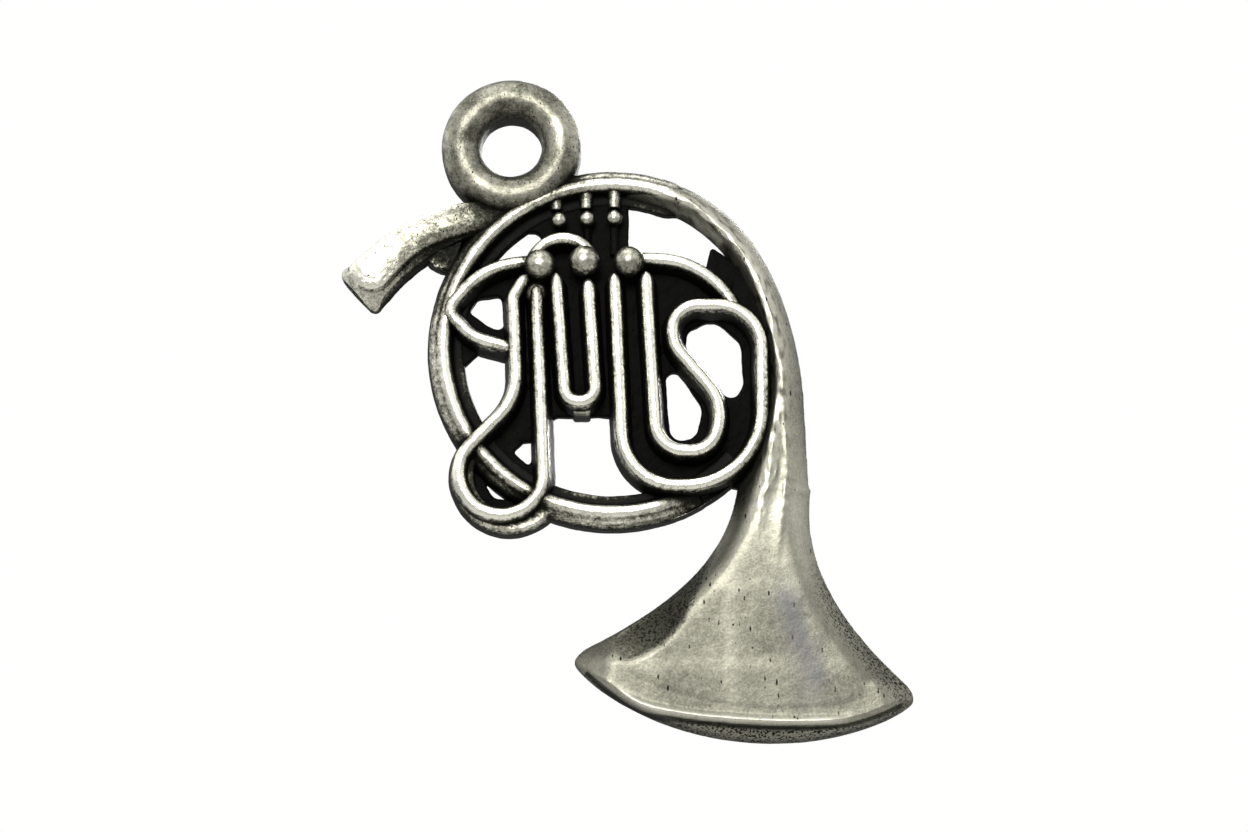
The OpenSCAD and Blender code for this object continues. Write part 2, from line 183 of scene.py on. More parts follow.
def postBetween(bm, a, b, lowRadius, topRadius):
    a, b = Vector(a), Vector(b)
    lean = (b - a).to_track_quat("Z", "Y").to_matrix().to_4x4()
    bmesh.ops.create_cone(bm, cap_ends=True, segments=24, radius1=lowRadius, radius2=topRadius,
                          depth=(b - a).length, matrix=Matrix.Translation((a + b) / 2) @ lean)


# A clean model becomes a casting when it is fused, softened and rippled
def settled(obj):
    bpy.context.view_layer.update()
    graph = bpy.context.evaluated_depsgraph_get()
    mesh = bpy.data.meshes.new_from_object(obj.evaluated_get(graph))
    obj.modifiers.clear()
    old = obj.data
    obj.data = mesh
    bpy.data.meshes.remove(old)


def vertexArrays(mesh):
    places = np.zeros(len(mesh.vertices) * 3)
    mesh.vertices.foreach_get("co", places)
    normals = np.zeros(len(mesh.vertices) * 3)
    mesh.vertex_normals.foreach_get("vector", normals)
    return places.reshape(-1, 3), normals.reshape(-1, 3)


def wander(places, scale, seed):
    shift = Vector((seed * 3.1, seed * 1.7, seed * 2.3))
    return np.array([noise.noise(Vector(p) * scale + shift) for p in places])


def eased(value, low, high):
    t = np.clip((value - low) / (high - low), 0, 1)
    return t * t * (3 - 2 * t)


def smoothLine(points, steps=8):
    rows = np.array([points[0], *points, points[-1]], dtype=float)
    line = []
    for i in range(1, len(rows) - 2):
        a, b, c, d = rows[i - 1:i + 3]
        for k in range(steps):
            t = k / steps
            line.append(0.5 * (2 * b + (c - a) * t + (2 * a - 5 * b + 4 * c - d) * t * t
                               + (3 * b - a - 3 * c + d) * t ** 3))
    return np.array(line + [rows[-1]])


# For each point: its distance from a line in the charm's plane, how far along it is and on which side
def fromLine(places, points):
    line = smoothLine(points)
    runs = np.hypot(*np.diff(line, axis=0).T)
    flat = places[:, [0, 2]]
    gap = np.full(len(places), np.inf)
    share = np.zeros(len(places))
    side = np.zeros(len(places))
    before = 0.0
    for a, b, run in zip(line[:-1], line[1:], runs):
        step = (b - a) / run
        along = np.clip((flat - a) @ step, 0, run)
        away = flat - a - along[:, None] * step
        distance = np.hypot(away[:, 0], away[:, 1])
        closer = distance < gap
        gap[closer] = distance[closer]
        share[closer] = (before + along[closer]) / runs.sum()
        side[closer] = np.sign(step[0] * away[closer, 1] - step[1] * away[closer, 0])
        before += run
    return gap, share, side


def castPiece(name, bm, stands, slotName, settings=None, rounding=0, sculpt=None, look=None):
    bmesh.ops.recalc_face_normals(bm, faces=bm.faces[:])
    mesh = bpy.data.meshes.new(name)
    bm.to_mesh(mesh)
    bm.free()
    obj = bpy.data.objects.new(name, mesh)
    bpy.context.scene.collection.objects.link(obj)
    surface = dict(casting)
    surface.update(settings or {})
    if rounding:
        curve = obj.modifiers.new("rounding", "SUBSURF")
        curve.levels = rounding
        curve.render_levels = rounding
    remesh = obj.modifiers.new("fused", "REMESH")
    remesh.mode = "VOXEL"
    remesh.voxel_size = surface["voxel"]
    soften = obj.modifiers.new("softened", "SMOOTH")
    soften.factor = surface["softness"]
    soften.iterations = surface["softening"]
    settled(obj)
    if sculpt:
        places, normals = vertexArrays(obj.data)
        obj.data.vertices.foreach_set("co", sculpt(places, normals).ravel())
        obj.data.update()
    places, normals = vertexArrays(obj.data)
    seed = len(pieces) + 1
    rise = sum(surface[kind] * wander(places, turns, seed + shift) for kind, turns, shift in waves)
    places = places + normals * rise[:, None]
    obj.data.vertices.foreach_set("co", places.ravel())
    obj.data.update()
    obj.data.shade_smooth()
    pieces.append({"obj": obj, "stands": stands, "slot": slotName, "look": look or slotName})
    print("cast", name, len(obj.data.polygons), "faces")
    return obj


print("stage: camera and light")
viewpoint = {"target": (3.7, 0.0, -8.93), "distance": 120.0, "below": 12.0, "focal": 106.6, "sensor": 36,
             "clip": (0.005, 10)}
camera = bpy.data.objects.new("camera", bpy.data.cameras.new("camera"))
camera.data.sensor_width = viewpoint["sensor"]
camera.data.lens = viewpoint["focal"]
camera.data.clip_start, camera.data.clip_end = viewpoint["clip"]
tilt = math.radians(viewpoint["below"])
reach = viewpoint["distance"] * mm
offset = Vector((0, -reach * math.cos(tilt), -reach * math.sin(tilt)))
camera.location = Vector(viewpoint["target"]) * mm + offset
camera.rotation_euler = (math.radians(90) + tilt, 0, 0)
bpy.context.scene.collection.objects.link(camera)
bpy.context.scene.camera = camera
bpy.context.scene.view_settings.view_transform = "Standard"

lightsAim = Vector((3.7, 0, -9))
lights = {
    "key": {"place": (-12, -120, 34), "size": 50, "power": 0.10, "tint": (1.0, 0.99, 0.93)},
    "top": {"place": (-10, -40, 110), "size": 90, "power": 0.06, "tint": (1.0, 1.0, 0.97)},
    "back": {"place": (30, 120, 40), "size": 60, "power": 0.10, "tint": (1.0, 1.0, 0.96)},
}
for name, lamp in lights.items():
    data = bpy.data.lights.new(name, "AREA")
    data.shape = "SQUARE"
    data.size = lamp["size"] * mm
    data.energy = lamp["power"]
    data.color = lamp["tint"]
    light = bpy.data.objects.new(name, data)
    light.location = Vector(lamp["place"]) * mm
    aim = lightsAim * mm - light.location
    light.rotation_euler = aim.to_track_quat("-Z", "Y").to_euler()
    bpy.context.scene.collection.objects.link(light)

# The room that the metal mirrors is darker than the pale backdrop behind it
room = {"backdrop": (1.0, 1.0, 0.995), "sides": 2.4, "blue": 0.97,
        "up": [(0.0, 0.03), (0.38, 0.05), (0.50, 0.15), (0.60, 0.36), (0.72, 0.40), (0.9, 0.36)]}
world = bpy.data.worlds.new("studio")
bpy.context.scene.world = world
world.use_nodes = True
tree = world.node_tree
mirrorLight = tree.nodes["Background"]
backdrop = tree.nodes.new("ShaderNodeBackground")
backdrop.inputs["Color"].default_value = (*room["backdrop"], 1)
lookUp = tree.nodes.new("ShaderNodeTexCoord")
split = tree.nodes.new("ShaderNodeSeparateXYZ")
tree.links.new(lookUp.outputs["Generated"], split.inputs[0])
raised = tree.nodes.new("ShaderNodeMapRange")
raised.inputs["From Min"].default_value = -1
raised.inputs["From Max"].default_value = 1
tree.links.new(split.outputs["Z"], raised.inputs["Value"])
sky = tree.nodes.new("ShaderNodeValToRGB")
while len(sky.color_ramp.elements) < len(room["up"]):
    sky.color_ramp.elements.new(0.5)
for element, (at, value) in zip(sky.color_ramp.elements, room["up"]):
    element.position = at
    element.color = (value, value, value * room["blue"], 1)
tree.links.new(raised.outputs[0], sky.inputs[0])
tree.links.new(sky.outputs[0], mirrorLight.inputs["Color"])
sideways = tree.nodes.new("ShaderNodeMath")
sideways.operation = "ABSOLUTE"
tree.links.new(split.outputs["X"], sideways.inputs[0])
brighter = tree.nodes.new("ShaderNodeMath")
brighter.operation = "MULTIPLY_ADD"
brighter.inputs[1].default_value = room["sides"]
brighter.inputs[2].default_value = 1.0
tree.links.new(sideways.outputs[0], brighter.inputs[0])
tree.links.new(brighter.outputs[0], mirrorLight.inputs["Strength"])
chooser = tree.nodes.new("ShaderNodeMixShader")
path = tree.nodes.new("ShaderNodeLightPath")
tree.links.new(path.outputs["Is Camera Ray"], chooser.inputs[0])
tree.links.new(mirrorLight.outputs[0], chooser.inputs[1])
tree.links.new(backdrop.outputs[0], chooser.inputs[2])
tree.links.new(chooser.outputs[0], tree.nodes["World Output"].inputs["Surface"])

floorSettings = {"drop": 110.0, "radius": 900.0, "tone": (0.62, 0.62, 0.61), "roughness": 0.8}
bm = bmesh.new()
bmesh.ops.create_circle(bm, cap_ends=True, segments=96, radius=floorSettings["radius"] * mm)
bmesh.ops.translate(bm, verts=bm.verts[:], vec=(0, 0, -floorSettings["drop"] * mm))
floorMesh = bpy.data.meshes.new("floor")
bm.to_mesh(floorMesh)
bm.free()
floorObj = bpy.data.objects.new("floor", floorMesh)
bpy.context.scene.collection.objects.link(floorObj)
paper = bpy.data.materials.new("paleFloor")
paper.use_nodes = True
paper.node_tree.nodes["Principled BSDF"].inputs["Base Color"].default_value = (*floorSettings["tone"], 1)
paper.node_tree.nodes["Principled BSDF"].inputs["Roughness"].default_value = floorSettings["roughness"]
floorMesh.materials.append(paper)

print("stage: ring and hoop")
ring = {"hole": 1.0, "outer": 2.29, "land": 0.7, "rise": 0.66, "crestSteps": 20, "steps": 140, "voxel": 0.04}
middle = (ring["hole"] + ring["outer"]) / 2
half = (ring["outer"] - ring["hole"]) / 2
ringFront = [(half * math.cos(a), ring["land"] / 2 + ring["rise"] * math.sin(a))
             for a in [math.pi * k / ring["crestSteps"] for k in range(ring["crestSteps"] + 1)]]
castPiece("bailRing", spunArc(mirrored(ringFront), (0, 0), middle, 0, 360, ring["steps"]), ["bail_ring"],
          "worn_silver", {"voxel": ring["voxel"]}, look="ring")

# The hoop is a bead standing on a wider band
hoop = {"centre": (3.3, -6.78), "outer": 6.0, "half": 0.6, "crest": 0.23, "crestShift": 0.06, "crestRise": 0.2,
        "crestSteps": 9, "height": 0.86, "outerWall": [(0.58, 0.3), (0.51, 0.5), (0.42, 0.62), (0.33, 0.67)],
        "innerStep": [(-0.24, 0.28), (-0.55, 0.24)], "band": [(0.52, 0.42), (-0.4, 0.3)],
        "start": 44, "sweep": 256, "steps": 200, "bandOverlap": 3, "bandSweep": 274, "bandSteps": 20,
        "sinkFrom": 71, "sinkTo": 54, "sink": 0.92, "pinch": 0.9,
        "lowFrom": -75, "lowTo": -61, "lowSink": 0.42, "lowAbove": 0.4}
beadArc = [math.pi * k / hoop["crestSteps"] for k in range(hoop["crestSteps"] + 1)]
beadCrest = [(hoop["crest"] * math.cos(a) + hoop["crestShift"],
              hoop["height"] - hoop["crestRise"] + hoop["crestRise"] * math.sin(a)) for a in beadArc]
hoopOutline = mirrored([(hoop["half"], 0)] + hoop["outerWall"] + beadCrest + hoop["innerStep"]
                       + [(-hoop["half"], 0)])
bandOutline = mirrored([(hoop["half"], 0)] + hoop["band"] + [(-hoop["half"], 0)])


# Both ends of the bead sink away: one into the bell's tail, the other under the right slide
def sinkHoopEnd(places, normals):
    across = places[:, [0, 2]] - np.array(hoop["centre"])
    angle = np.degrees(np.arctan2(across[:, 1], across[:, 0]))
    upper = (1 - eased(angle, hoop["sinkTo"], hoop["sinkFrom"])) * (angle > 0)
    bead = np.abs(places[:, 1]) > hoop["lowAbove"]
    lower = eased(angle, hoop["lowFrom"], hoop["lowTo"]) * (angle < 0) * bead
    places[:, 1] *= (1 - hoop["sink"] * upper) * (1 - hoop["lowSink"] * lower)
    radius = np.hypot(across[:, 0], across[:, 1])
    line = hoop["outer"] - hoop["half"]
    squeezed = (line + (radius - line) * (1 - hoop["pinch"] * upper)) / radius
    places[:, [0, 2]] = np.array(hoop["centre"]) + across * squeezed[:, None]
    return places


hoopLine = hoop["outer"] - hoop["half"]
bm = spunArc(hoopOutline, hoop["centre"], hoopLine, hoop["start"], hoop["sweep"], hoop["steps"])
bm = spunArc(bandOutline, hoop["centre"], hoopLine, hoop["start"] + hoop["sweep"] - hoop["bandOverlap"],
             hoop["bandSweep"] - hoop["sweep"] + hoop["bandOverlap"], hoop["bandSteps"], bm)
castPiece("mainHoop", bm, ["main_hoop"], "worn_silver", {"softening": 3}, sculpt=sinkHoopEnd, look="hoop")

ledge = {"radius": 4.7, "half": 0.42, "rise": 0.4, "innerRise": 0.8, "start": 6, "sweep": 36, "steps": 40,
         "sinkFrom": 22, "sinkTo": 42, "sink": 0.8, "pinch": 0.85, "softening": 8}
ledgeOutline = mirrored([(ledge["half"], 0), (ledge["half"], ledge["rise"]),
                         (-ledge["half"], ledge["rise"] * ledge["innerRise"]), (-ledge["half"], 0)])


def sinkLedgeEnd(places, normals):
    across = places[:, [0, 2]] - np.array(hoop["centre"])
    angle = np.degrees(np.arctan2(across[:, 1], across[:, 0]))
    sunk = eased(angle, ledge["sinkFrom"], ledge["sinkTo"])
    places[:, 1] *= 1 - ledge["sink"] * sunk
    radius = np.hypot(across[:, 0], across[:, 1])
    outer = ledge["radius"] + ledge["half"]
    squeezed = (outer + (radius - outer) * (1 - ledge["pinch"] * sunk)) / radius
    places[:, [0, 2]] = np.array(hoop["centre"]) + across * squeezed[:, None]
    return places


bm = spunArc(ledgeOutline, hoop["centre"], ledge["radius"], ledge["start"], ledge["sweep"], ledge["steps"])
castPiece("hoopLedge", bm, ["hoop_ledge"], "dark_recess", {"softening": ledge["softening"]},
          sculpt=sinkLedgeEnd)

# Each route is a row of corners: across, up and the bend's radius
print("stage: slides and crooks")
slide = {"halfBase": 0.38, "crestHalf": 0.21, "crestRise": 0.2, "height": 1.15}
crook = {"halfBase": 0.38, "crestHalf": 0.21, "crestRise": 0.2, "height": 1.0}
slideTube = tubeOutline(**slide)
crookTube = tubeOutline(**crook)
leftSlide = [(0.4, -4.7, 0), (0.1, -5.2, 0.45), (0.25, -8.5, 1.9), (-1.95, -10.8, 1.35), (-0.85, -12.6, 1.35),
             (1.15, -12.0, 1.3), (0.86, -5.1, 0)]
middleSlide = [(1.5, -4.7, 0), (1.8, -8.65, 0.48), (2.8, -8.65, 0.48), (2.55, -4.9, 0)]
rightSlide = [(3.4, -4.7, 0), (3.7, -11.4, 1.75), (8.15, -11.4, 2.5), (8.15, -5.45, 1.45), (5.2, -5.45, 0.85),
              (5.3, -6.8, 1.0), (6.95, -8.75, 1.6), (6.5, -10.3, 0.9), (4.75, -10.25, 0.95), (4.42, -4.65, 0)]
leftCrook = [(0.8, -3.95, 0), (-0.9, -4.15, 2.6), (-2.05, -5.6, 0.4), (-1.2, -6.5, 1.5), (-0.1, -6.8, 0)]
rightCrook = [(4.1, -3.88, 0), (6.3, -3.9, 2.8), (7.35, -5.6, 0)]
castPiece("leftSlide", bentTube(leftSlide, slideTube), ["left_slide"], "bright_tubes")
castPiece("middleSlide", bentTube(middleSlide, slideTube), ["middle_slide"], "bright_tubes")
castPiece("rightSlide", bentTube(rightSlide, slideTube), ["right_slide"], "bright_tubes",
          {"voxel": 0.047})  # coarser, to keep the longest tube's face count down
castPiece("leftCrook", bentTube(leftCrook, crookTube), ["left_crook"], "bright_tubes")
castPiece("rightCrook", bentTube(rightCrook, crookTube), ["right_crook"], "bright_tubes")
bow = {"centre": (1.72, -4.22), "radius": 1.02, "start": 25, "sweep": 130, "steps": 40}
bowTube = {"halfBase": 0.34, "crestHalf": 0.2, "crestRise": 0.19, "height": 1.05}
bm = spunArc(tubeOutline(**bowTube), bow["centre"], bow["radius"], bow["start"], bow["sweep"], bow["steps"])
castPiece("valveBow", bm, ["valve_bow"], "bright_tubes")
base = {"centre": (0.0, -11.0), "radius": 1.5, "inner": 0.35, "outer": 0.46, "draft": 0.02, "footHeight": 0.3,
        "top": 0.35, "rise": 0.62, "start": 150, "sweep": 185, "steps": 90}
baseOutline = mirrored([(base["outer"], 0), (base["outer"] - base["draft"], base["footHeight"]),
                        (base["top"], base["rise"]), (-base["inner"], base["rise"]), (-base["inner"], 0)])
bm = spunArc(baseOutline, base["centre"], base["radius"], base["start"], base["sweep"], base["steps"])
castPiece("leftSlideBase", bm, ["left_slide_base"], "worn_silver")
collar = {"place": (0.84, -5.02), "radius": 0.38, "height": 0.98, "bevel": 0.22, "bevelSteps": 4}
bm = bmesh.new()
postBetween(bm, (collar["place"][0], -collar["height"], collar["place"][1]),
            (collar["place"][0], collar["height"], collar["place"][1]), collar["radius"], collar["radius"])
endEdges = [e for e in bm.edges if abs(e.verts[0].co.y - e.verts[1].co.y) < tiny["weld"]]
bmesh.ops.bevel(bm, geom=endEdges, offset=collar["bevel"], affect="EDGES", segments=collar["bevelSteps"],
                profile=0.5, material=-1)
castPiece("leftSlideCollar", bm, ["left_slide_collar"], "bright_tubes", look="hoop")
castPiece("middleSlideFoot", copiedNode("middle_slide_foot", quads=False), ["middle_slide_foot"], "worn_silver",
          look="ring")

print("stage: valves and keys")
cap = {"places": [(0.97, -4.1), (2.4, -3.98), (3.86, -4.0)], "radius": 0.52, "height": 0.9, "post": 0.3,
       "cast": {"voxel": 0.035, "swell": 0.006}}
button = {"places": [(1.58, -2.52), (2.5, -2.48), (3.38, -2.45)], "radius": 0.27, "height": 0.6, "post": 0.16}
stem = {"height": 0.45, "from": 0.36, "to": 0.96, "low": 0.19, "top": 0.25, "lean": 0.05}
rod = {"height": 0.34, "length": 1.2, "radius": 0.14}
fine = {"voxel": 0.03, "softening": 3}
for i, (x, z) in enumerate(cap["places"], 1):
    bm = ballPair((x, z), cap["radius"], cap["height"])
    postBetween(bm, (x, -cap["height"], z), (x, cap["height"], z), cap["post"], cap["post"])
    castPiece(f"valveCap{i}", bm, [f"valve_cap_{i}"], "polished_balls", cap["cast"])
for i, (x, z) in enumerate(button["places"], 1):
    bm = ballPair((x, z), button["radius"], button["height"])
    postBetween(bm, (x, -button["height"], z), (x, button["height"], z), button["post"], button["post"])
    castPiece(f"keyButton{i}", bm, [f"key_button_{i}"], "polished_balls", fine)
    bm = bmesh.new()
    stemX = x - stem["lean"] * (3 - i)
    for face in (1, -1):
        postBetween(bm, (stemX, -face * stem["height"], z + stem["from"]),
                    (stemX, -face * stem["height"], z + stem["to"]), stem["low"], stem["top"])
    castPiece(f"keyStem{i}", bm, [f"key_stem_{i}"], "worn_silver", fine)
    if i > 1:  # the first key has no rod
        bm = bmesh.new()
        for face in (1, -1):
            postBetween(bm, (x, -face * rod["height"], z - rod["length"]), (x, -face * rod["height"], z),
                        rod["radius"], rod["radius"])
        castPiece(f"keyRod{i}", bm, [f"key_rod_{i}"], "dark_recess", fine)

# The recessed plates and the gusset keep their outlines and get a rougher cast face
print("stage: plates")
plateCast = {"swell": 0.03, "ripple": 0.014}
gussetCast = {"swell": 0.05, "ripple": 0.05, "grain": 0.02}
for name, stands in (("keyPanel", "key_panel"), ("crookPlate", "crook_plate"), ("centrePlate", "centre_plate"),
                     ("rightPlate", "right_plate"), ("loopPlate", "loop_plate")):
    castPiece(name, copiedNode(stands, quads=False), [stands], "dark_recess", plateCast)
castPiece("pipeGusset", copiedNode("pipe_gusset", quads=False), ["pipe_gusset"], "dark_recess", gussetCast,
          look="gusset")

print("stage: tail, pipe and bell")
pipe = {"line": [(-0.4, -2.3), (-1.74, -2.55), (-2.73, -2.88), (-3.63, -3.4), (-4.48, -4.25)],
        "crestStart": 0.4, "crestEnd": 0.6, "height": 0.84, "heightEnd": 0.92, "crestFall": 0.1,
        "wallTop": 0.68, "wallSlope": 0.75, "edgeIn": 0.02, "edgeRight": 0.26, "edgeLeft": 0.1,
        "low": 0.72, "lift": 0.28, "liftShare": 0.2, "blend": (0.08, 0.3),
        "cast": {"ripple": 0.014, "grain": 0.008, "softening": 10}}


# The pipe's crest is a flat tongue with a round end, and lower walls slope away from its crisp edge
def flattenPipe(places, normals):
    gap, share, side = fromLine(places, pipe["line"])
    half = pipe["crestStart"] + (pipe["crestEnd"] - pipe["crestStart"]) * share
    top = pipe["height"] + (pipe["heightEnd"] - pipe["height"]) * share
    crest = top - pipe["crestFall"] * np.clip(gap / half, 0, 1) ** 2
    wall = pipe["wallTop"] - pipe["wallSlope"] * np.clip(gap - half, 0, 1)
    soft = np.where(side < 0, pipe["edgeRight"], pipe["edgeLeft"])
    target = wall + (crest - wall) * (1 - eased(gap, half - pipe["edgeIn"], half + soft))
    target = target * (pipe["low"] + pipe["lift"] * eased(share, 0.0, pipe["liftShare"]))
    out = np.abs(places[:, 1])
    blend = eased(out, *pipe["blend"])
    places[:, 1] = np.sign(places[:, 1]) * (out + (target - out) * blend)
    return places


cup = {"place": (-5.0, -4.9), "turn": -138,
       "outline": [(0, -0.6), (0.7, -0.6), (0.88, -0.3), (0.9, -0.14), (0.86, -0.02), (0.74, 0.05), (0.6, 0.05),
                   (0.4, -0.04), (0, -0.08)], "steps": 64}
bm = bmesh.new()
corners = [bm.verts.new((r, 0, h)) for r, h in cup["outline"]]
rim = [bm.edges.new((a, b)) for a, b in zip(corners, corners[1:])]
bmesh.ops.spin(bm, geom=rim, cent=(0, 0, 0), axis=(0, 0, 1), dvec=(0, 0, 0), angle=2 * math.pi,
               steps=cup["steps"], use_merge=True)
bmesh.ops.remove_doubles(bm, verts=bm.verts[:], dist=tiny["weld"])
lay = direction(math.radians(cup["turn"])).to_track_quat("Z", "Y").to_matrix().to_4x4()
bmesh.ops.transform(bm, matrix=Matrix.Translation(spot(cup["place"])) @ lay, verts=bm.verts[:])
cupMesh = bpy.data.meshes.new("cup")
bm.to_mesh(cupMesh)
bm.free()
bm = copiedNode("lead_pipe")
bm.from_mesh(cupMesh)
castPiece("leadPipe", bm, ["lead_pipe", "mouthpiece"], "worn_silver", pipe["cast"], rounding=1,
          sculpt=flattenPipe, look="pipe")

# The bell fuses tail, flare and raised lip into one tapering form
bell = {
    "ridges": [
        {"line": [(4.9, -1.57), (5.5, -1.84), (6.08, -2.2), (7.51, -3.74), (8.14, -5.21), (8.45, -6.44),
                  (8.48, -8.26), (8.42, -10.07), (8.29, -11.25), (8.09, -11.91), (7.82, -13.66)],
         "rise": 0.09, "reach": 0.24, "fade": 0.8},
        {"line": [(8.84, -7.04), (8.89, -8.86), (8.97, -10.24), (8.93, -11.25), (8.69, -12.85), (8.52, -14.31)],
         "rise": 0.05, "reach": 0.13, "fade": 0.6}],
    "ridgeIn": (-0.02, 0.08), "combDepth": 0.5, "combAcross": 9.0, "combAlong": 34.0, "combSeed": 5.0,
    "plump": 0.07, "plumpOut": (0.1, 0.5), "plumpFrom": (-12.0, -16.0), "proud": (0.35, 0.6),
    "band": [(7.35, -10.6), (7.2, -11.8), (6.58, -13.66), (6.12, -14.85), (5.59, -15.91), (4.8, -16.71),
             (3.7, -17.25), (2.8, -17.3)],
    "bandTop": 0.93, "bandSlope": 0.72, "bandRound": (0.0, 0.3), "bandIn": (0, 0.45), "bandOut": (0.8, 1),
    "bandBlend": (0.1, 0.3), "bandLeast": 0.12,
    "lip": [(2.45, -17.1), (3.3, -17.85), (4.28, -18.48), (5.58, -18.77), (6.88, -18.92), (8.44, -19.01),
            (9.74, -19.01), (10.75, -18.93), (11.8, -18.6), (12.65, -18.15)],
    "lipRise": 0.13, "lipReach": 0.12, "lipStart": (0.1, 0.26), "lipEnd": (0.74, 0.86), "lipIn": (0.02, 0.1),
    "lipOut": (0.92, 0.99), "paneEdge": 0.945, "paneSlope": 0.01, "paneFade": (0.7, 1.1), "wallSlope": 0.95,
    "wallReach": 0.9,
    "rightEdge": [(9.95, -13.2), (10.3, -14.5), (11.0, -15.9), (11.9, -17.0), (12.6, -17.9)],
    "streak": [(8.74, -14.5), (9.12, -15.91), (9.5, -16.84), (9.76, -17.63), (9.49, -18.28)],
    "cast": {"voxel": 0.051, "softening": 13, "ripple": 0.004, "grain": 0.001, "swell": 0.008}}


# Fine uneven streaks that follow a line
def combed(offset, share):
    return np.array([noise.noise(Vector((u * bell["combAcross"], t * bell["combAlong"], bell["combSeed"])))
                     for u, t in zip(offset, share)])


def shapeBell(places, normals):
    out = np.abs(places[:, 1])
    plump = bell["plump"] * (1 - eased(out, *bell["plumpOut"])) * eased(places[:, 2], *bell["plumpFrom"])
    places[:, 0] += normals[:, 0] * plump
    places[:, 2] += normals[:, 2] * plump
    proud = eased(out, *bell["proud"])
    for ridge in bell["ridges"]:
        gap, share, side = fromLine(places, ridge["line"])
        strength = eased(share, *bell["ridgeIn"]) * (1 - eased(share, ridge["fade"], 1))
        grooves = combed(gap * side, share)
        crest = ridge["rise"] * np.exp(-(gap / ridge["reach"]) ** 2)
        out = out + crest * (1 + bell["combDepth"] * grooves) * strength * proud
    # the left band slopes down from a crisp edge
    gap, share, side = fromLine(places, bell["band"])
    wall = bell["bandTop"] - bell["bandSlope"] * gap * eased(gap, *bell["bandRound"])
    cut = ((side < 0) * eased(share, *bell["bandIn"]) * (1 - eased(share, *bell["bandOut"]))
           * eased(out, *bell["bandBlend"]))
    out = out + np.minimum(np.maximum(wall, bell["bandLeast"]) - out, 0) * cut
    # the pane rises to the lip, and a wall falls away beyond it
    gap, share, side = fromLine(places, bell["lip"])
    inside = side > 0
    ends = eased(share, *bell["lipIn"]) * (1 - eased(share, *bell["lipOut"]))
    slope = np.where(inside, bell["paneSlope"], bell["wallSlope"])
    edge = bell["paneEdge"] - slope * gap
    out = out + np.maximum(edge - out, 0) * proud * ends * (1 - eased(gap, *bell["paneFade"]))
    out = out + np.minimum(edge - out, 0) * proud * ends * (~inside) * (gap < bell["wallReach"])
    strength = eased(share, *bell["lipStart"]) * (1 - eased(share, *bell["lipEnd"]))
    out = out + bell["lipRise"] * np.exp(-(gap / bell["lipReach"]) ** 2) * strength * proud
    places[:, 1] = np.sign(places[:, 1]) * out
    return places


castPiece("bellHorn", copiedNode("bell_tail", "bell_flare"), ["bell_tail", "bell_flare", "bell_rim"],
          "satin_bell", bell["cast"], rounding=1, sculpt=shapeBell)

# Relief is how far each point stands above or below what is round it
print("stage: relief")
relief = {"cell": 0.05, "near": 0.16, "far": 0.55, "margin": 3.0, "passes": 3}
allPlaces = [vertexArrays(p["obj"].data)[0] for p in pieces]
joined = np.concatenate(allPlaces)
low = joined.min(0) - relief["margin"]
size = ((joined.max(0) - joined.min(0) + 2 * relief["margin"]) / relief["cell"]).astype(int) + 2
grid = np.zeros((size[0], size[2]))
gx = ((joined[:, 0] - low[0]) / relief["cell"]).astype(int)
gz = ((joined[:, 2] - low[2]) / relief["cell"]).astype(int)
np.maximum.at(grid, (gx, gz), np.abs(joined[:, 1]))


def spread(values, distance):
    cells = max(1, round(distance / relief["cell"]))
    for _ in range(relief["passes"]):
        for axis in (0, 1):
            total = np.cumsum(np.insert(values, 0, 0, axis=axis), axis=axis)
            count = values.shape[axis]
            ahead = np.clip(np.arange(count) + cells + 1, 0, count)
            behind = np.clip(np.arange(count) - cells, 0, count)
            values = (np.take(total, ahead, axis) - np.take(total, behind, axis)) / (2 * cells + 1)
    return values


nearMean = spread(grid, relief["near"])
farMean = spread(grid, relief["far"])


def writeField(mesh, name, values):
    field = mesh.attributes.new(name, "FLOAT", "POINT")
    field.data.foreach_set("value", values.astype(np.float32))


# Where dirt, bare metal, flecks, painted highlights and painted shade lie. Reaches are in millimetres, ins and
# outs are shares of a line
wearAndPaintedLight = {"bandEdge": (-0.1, 0.35), "bandIn": (0.0, 0.35), "bandOut": (0.6, 0.97), "flecksSteep": 0.12,
        "flecksBand": 0.7, "flecksLip": 0.8, "flecksRight": 0.65, "lipEnds": (0.02, 0.98),
        "lipWall": (0.16, 0.3),
        "rightReach": (0.1, 0.75), "rightIn": (0.0, 0.5), "belowLipDark": 1.6, "belowLipDarkFrom": (0.11, 0.15),
        "belowLipDarkTo": (0.2, 0.28), "lipHighlightReach": 0.1, "tailHighlight": 0.2, "throatHighlight": 0.55,
        "throatFrom": (9.5, 12.5), "throatTo": (11.5, 15.5), "streakReach": 0.42, "streakIn": (-0.1, 0.2),
        "streakOut": (0.8, 1), "streakFade": 0.6, "ridgeOut": (0.7, 1), "ridgeHighlightWeight": 1.1, "ridgeReach": 0.36,
        "combDark": 3.0, "combReach": 0.45, "innerDark": 1.6, "innerFrom": (0.25, 0.5), "innerIn": (0, 0.1),
        "pipeEnd": (0.75, 1)}
